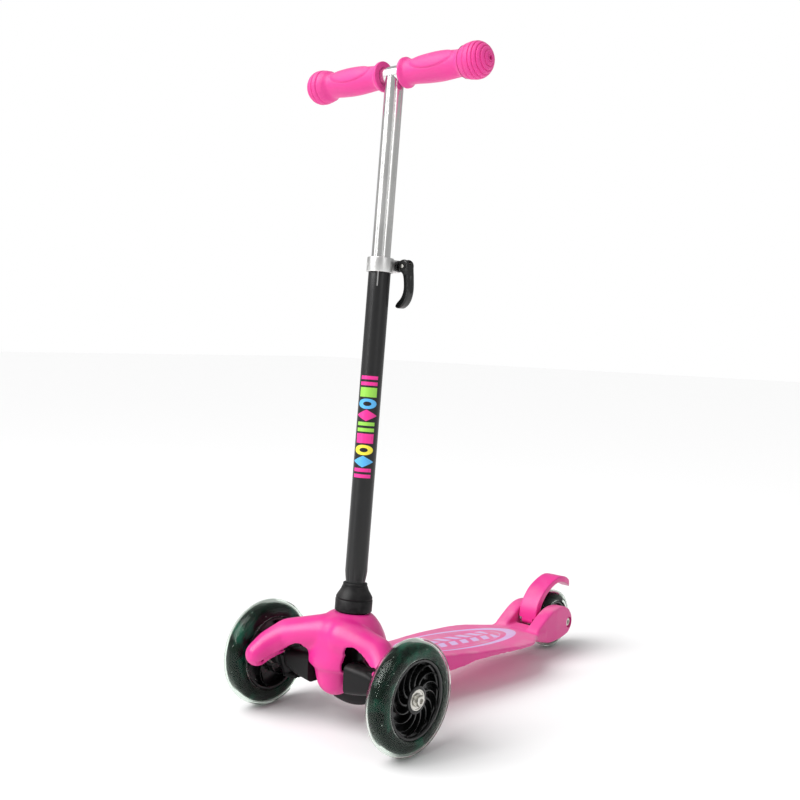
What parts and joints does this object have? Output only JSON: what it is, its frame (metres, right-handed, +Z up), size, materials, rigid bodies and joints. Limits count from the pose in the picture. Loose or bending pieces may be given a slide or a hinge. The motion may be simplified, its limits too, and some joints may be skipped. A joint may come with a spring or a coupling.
{
  "type": "kick scooter",
  "caption": "Child's three-wheeled kick scooter with a moulded footboard, lean-to-steer front truck, rear foot brake and a telescopic T-bar held by a cam clamp.",
  "frame": {"origin": "centre of the bounding box in plan, on the ground under the wheels", "axes": "+Z up, -Y forward in the direction of travel, +X to the rider's left"},
  "size_m": [0.256, 0.537, 0.7286],
  "materials": {
    "pink_shell": "satin injection-moulded polypropylene, fine even texture",
    "grip_rubber": "soft moulded elastomer",
    "black_plastic": "satin glass-filled nylon",
    "black_paint": "semi-gloss powder coat on aluminium tube",
    "aluminium": "drawn and clear anodised",
    "steel": "zinc plated",
    "smoked_tyre": "clear smoked polyurethane, gloss"
  },
  "bodies": {
    "chassis": {"deck": "pink_shell", "front_cover": "pink_shell", "truck_housing": "black_plastic", "kingpin_left": "steel", "kingpin_right": "steel", "steer_spring_left": "steel", "steer_spring_right": "steel", "socket_collar": "black_plastic", "lower_tube": "black_paint", "clamp_ring": "aluminium", "clamp_bolt": "steel", "clamp_nut": "black_plastic", "cam_washer": "black_plastic", "cam_pin": "steel", "brake_pin": "steel", "brake_spring_left": "steel", "brake_spring_right": "steel", "rear_axle_bolt": "steel", "rear_axle_nut": "steel", "rear_axle_spacer": "aluminium"},
    "left_steer_arm": {"knuckle_left": "black_plastic", "axle_bolt_left": "steel", "axle_spacer_left": "aluminium"},
    "right_steer_arm": {"knuckle_right": "black_plastic", "axle_bolt_right": "steel", "axle_spacer_right": "aluminium"},
    "steer_link": {"tie_rod": "black_plastic", "tie_screw_left": "steel", "tie_screw_right": "steel"},
    "left_wheel": {"wheel_left_tyre": "smoked_tyre", "wheel_left_hub": "black_plastic", "wheel_left_bearing_outer": "steel", "wheel_left_bearing_inner": "steel"},
    "right_wheel": {"wheel_right_tyre": "smoked_tyre", "wheel_right_hub": "black_plastic", "wheel_right_bearing_outer": "steel", "wheel_right_bearing_inner": "steel"},
    "back_wheel": {"rear_wheel_tyre": "smoked_tyre", "rear_wheel_hub": "black_plastic", "rear_wheel_bearing_outer": "steel", "rear_wheel_bearing_inner": "steel"},
    "foot_brake": {"brake_lever": "pink_shell"},
    "t_bar": {"upper_tube": "aluminium", "crossbar": "aluminium", "grip_left": "grip_rubber", "grip_right": "grip_rubber"},
    "clamp_lever": {"cam_lever": "black_plastic"}
  },
  "joints": [
    {"name": "left_steer", "type": "hinge", "parent": "chassis", "child": "left_steer_arm", "pos_m": [0.074, -0.2085, 0.06], "axis": [0, -0.342, 0.9397], "range_deg": [-8, 8], "stiffness_Nm_per_rad": 3},
    {"name": "right_steer", "type": "hinge", "parent": "chassis", "child": "right_steer_arm", "pos_m": [-0.074, -0.2085, 0.06], "axis": [0, -0.342, 0.9397], "range_deg": [-8, 8], "stiffness_Nm_per_rad": 3},
    {"name": "tie_rod_pivot", "type": "hinge", "parent": "left_steer_arm", "child": "steer_link", "pos_m": [0.074, -0.18031, 0.07026], "axis": [0, -0.342, 0.9397], "range_deg": [-8, 8]},
    {"name": "left_wheel_spin", "type": "hinge", "parent": "left_steer_arm", "child": "left_wheel", "pos_m": [0.10575, -0.2085, 0.06], "axis": [1, 0, 0], "continuous": true},
    {"name": "right_wheel_spin", "type": "hinge", "parent": "right_steer_arm", "child": "right_wheel", "pos_m": [-0.10575, -0.2085, 0.06], "axis": [1, 0, 0], "continuous": true},
    {"name": "rear_wheel_spin", "type": "hinge", "parent": "chassis", "child": "back_wheel", "pos_m": [0, 0.2259, 0.0396], "axis": [1, 0, 0], "continuous": true},
    {"name": "brake_press", "type": "hinge", "parent": "chassis", "child": "foot_brake", "pos_m": [0, 0.1755, 0.046], "axis": [-1, 0, 0], "range_deg": [0, 12], "stiffness_Nm_per_rad": 0.4, "springref_deg": -11.46},
    {"name": "bar_height", "type": "slide", "parent": "chassis", "child": "t_bar", "axis": [0, 0.0659, 0.9978], "range_m": [-0.16, 0.04]},
    {"name": "clamp_release", "type": "hinge", "parent": "chassis", "child": "clamp_lever", "pos_m": [0.02, -0.13652, 0.5015], "axis": [0, -1, 0], "range_deg": [0, 120]}
  ],
  "couplings": [
    {"joint": "right_steer", "follows": "left_steer", "ratio": 1},
    {"joint": "tie_rod_pivot", "follows": "left_steer", "ratio": -1}
  ]
}
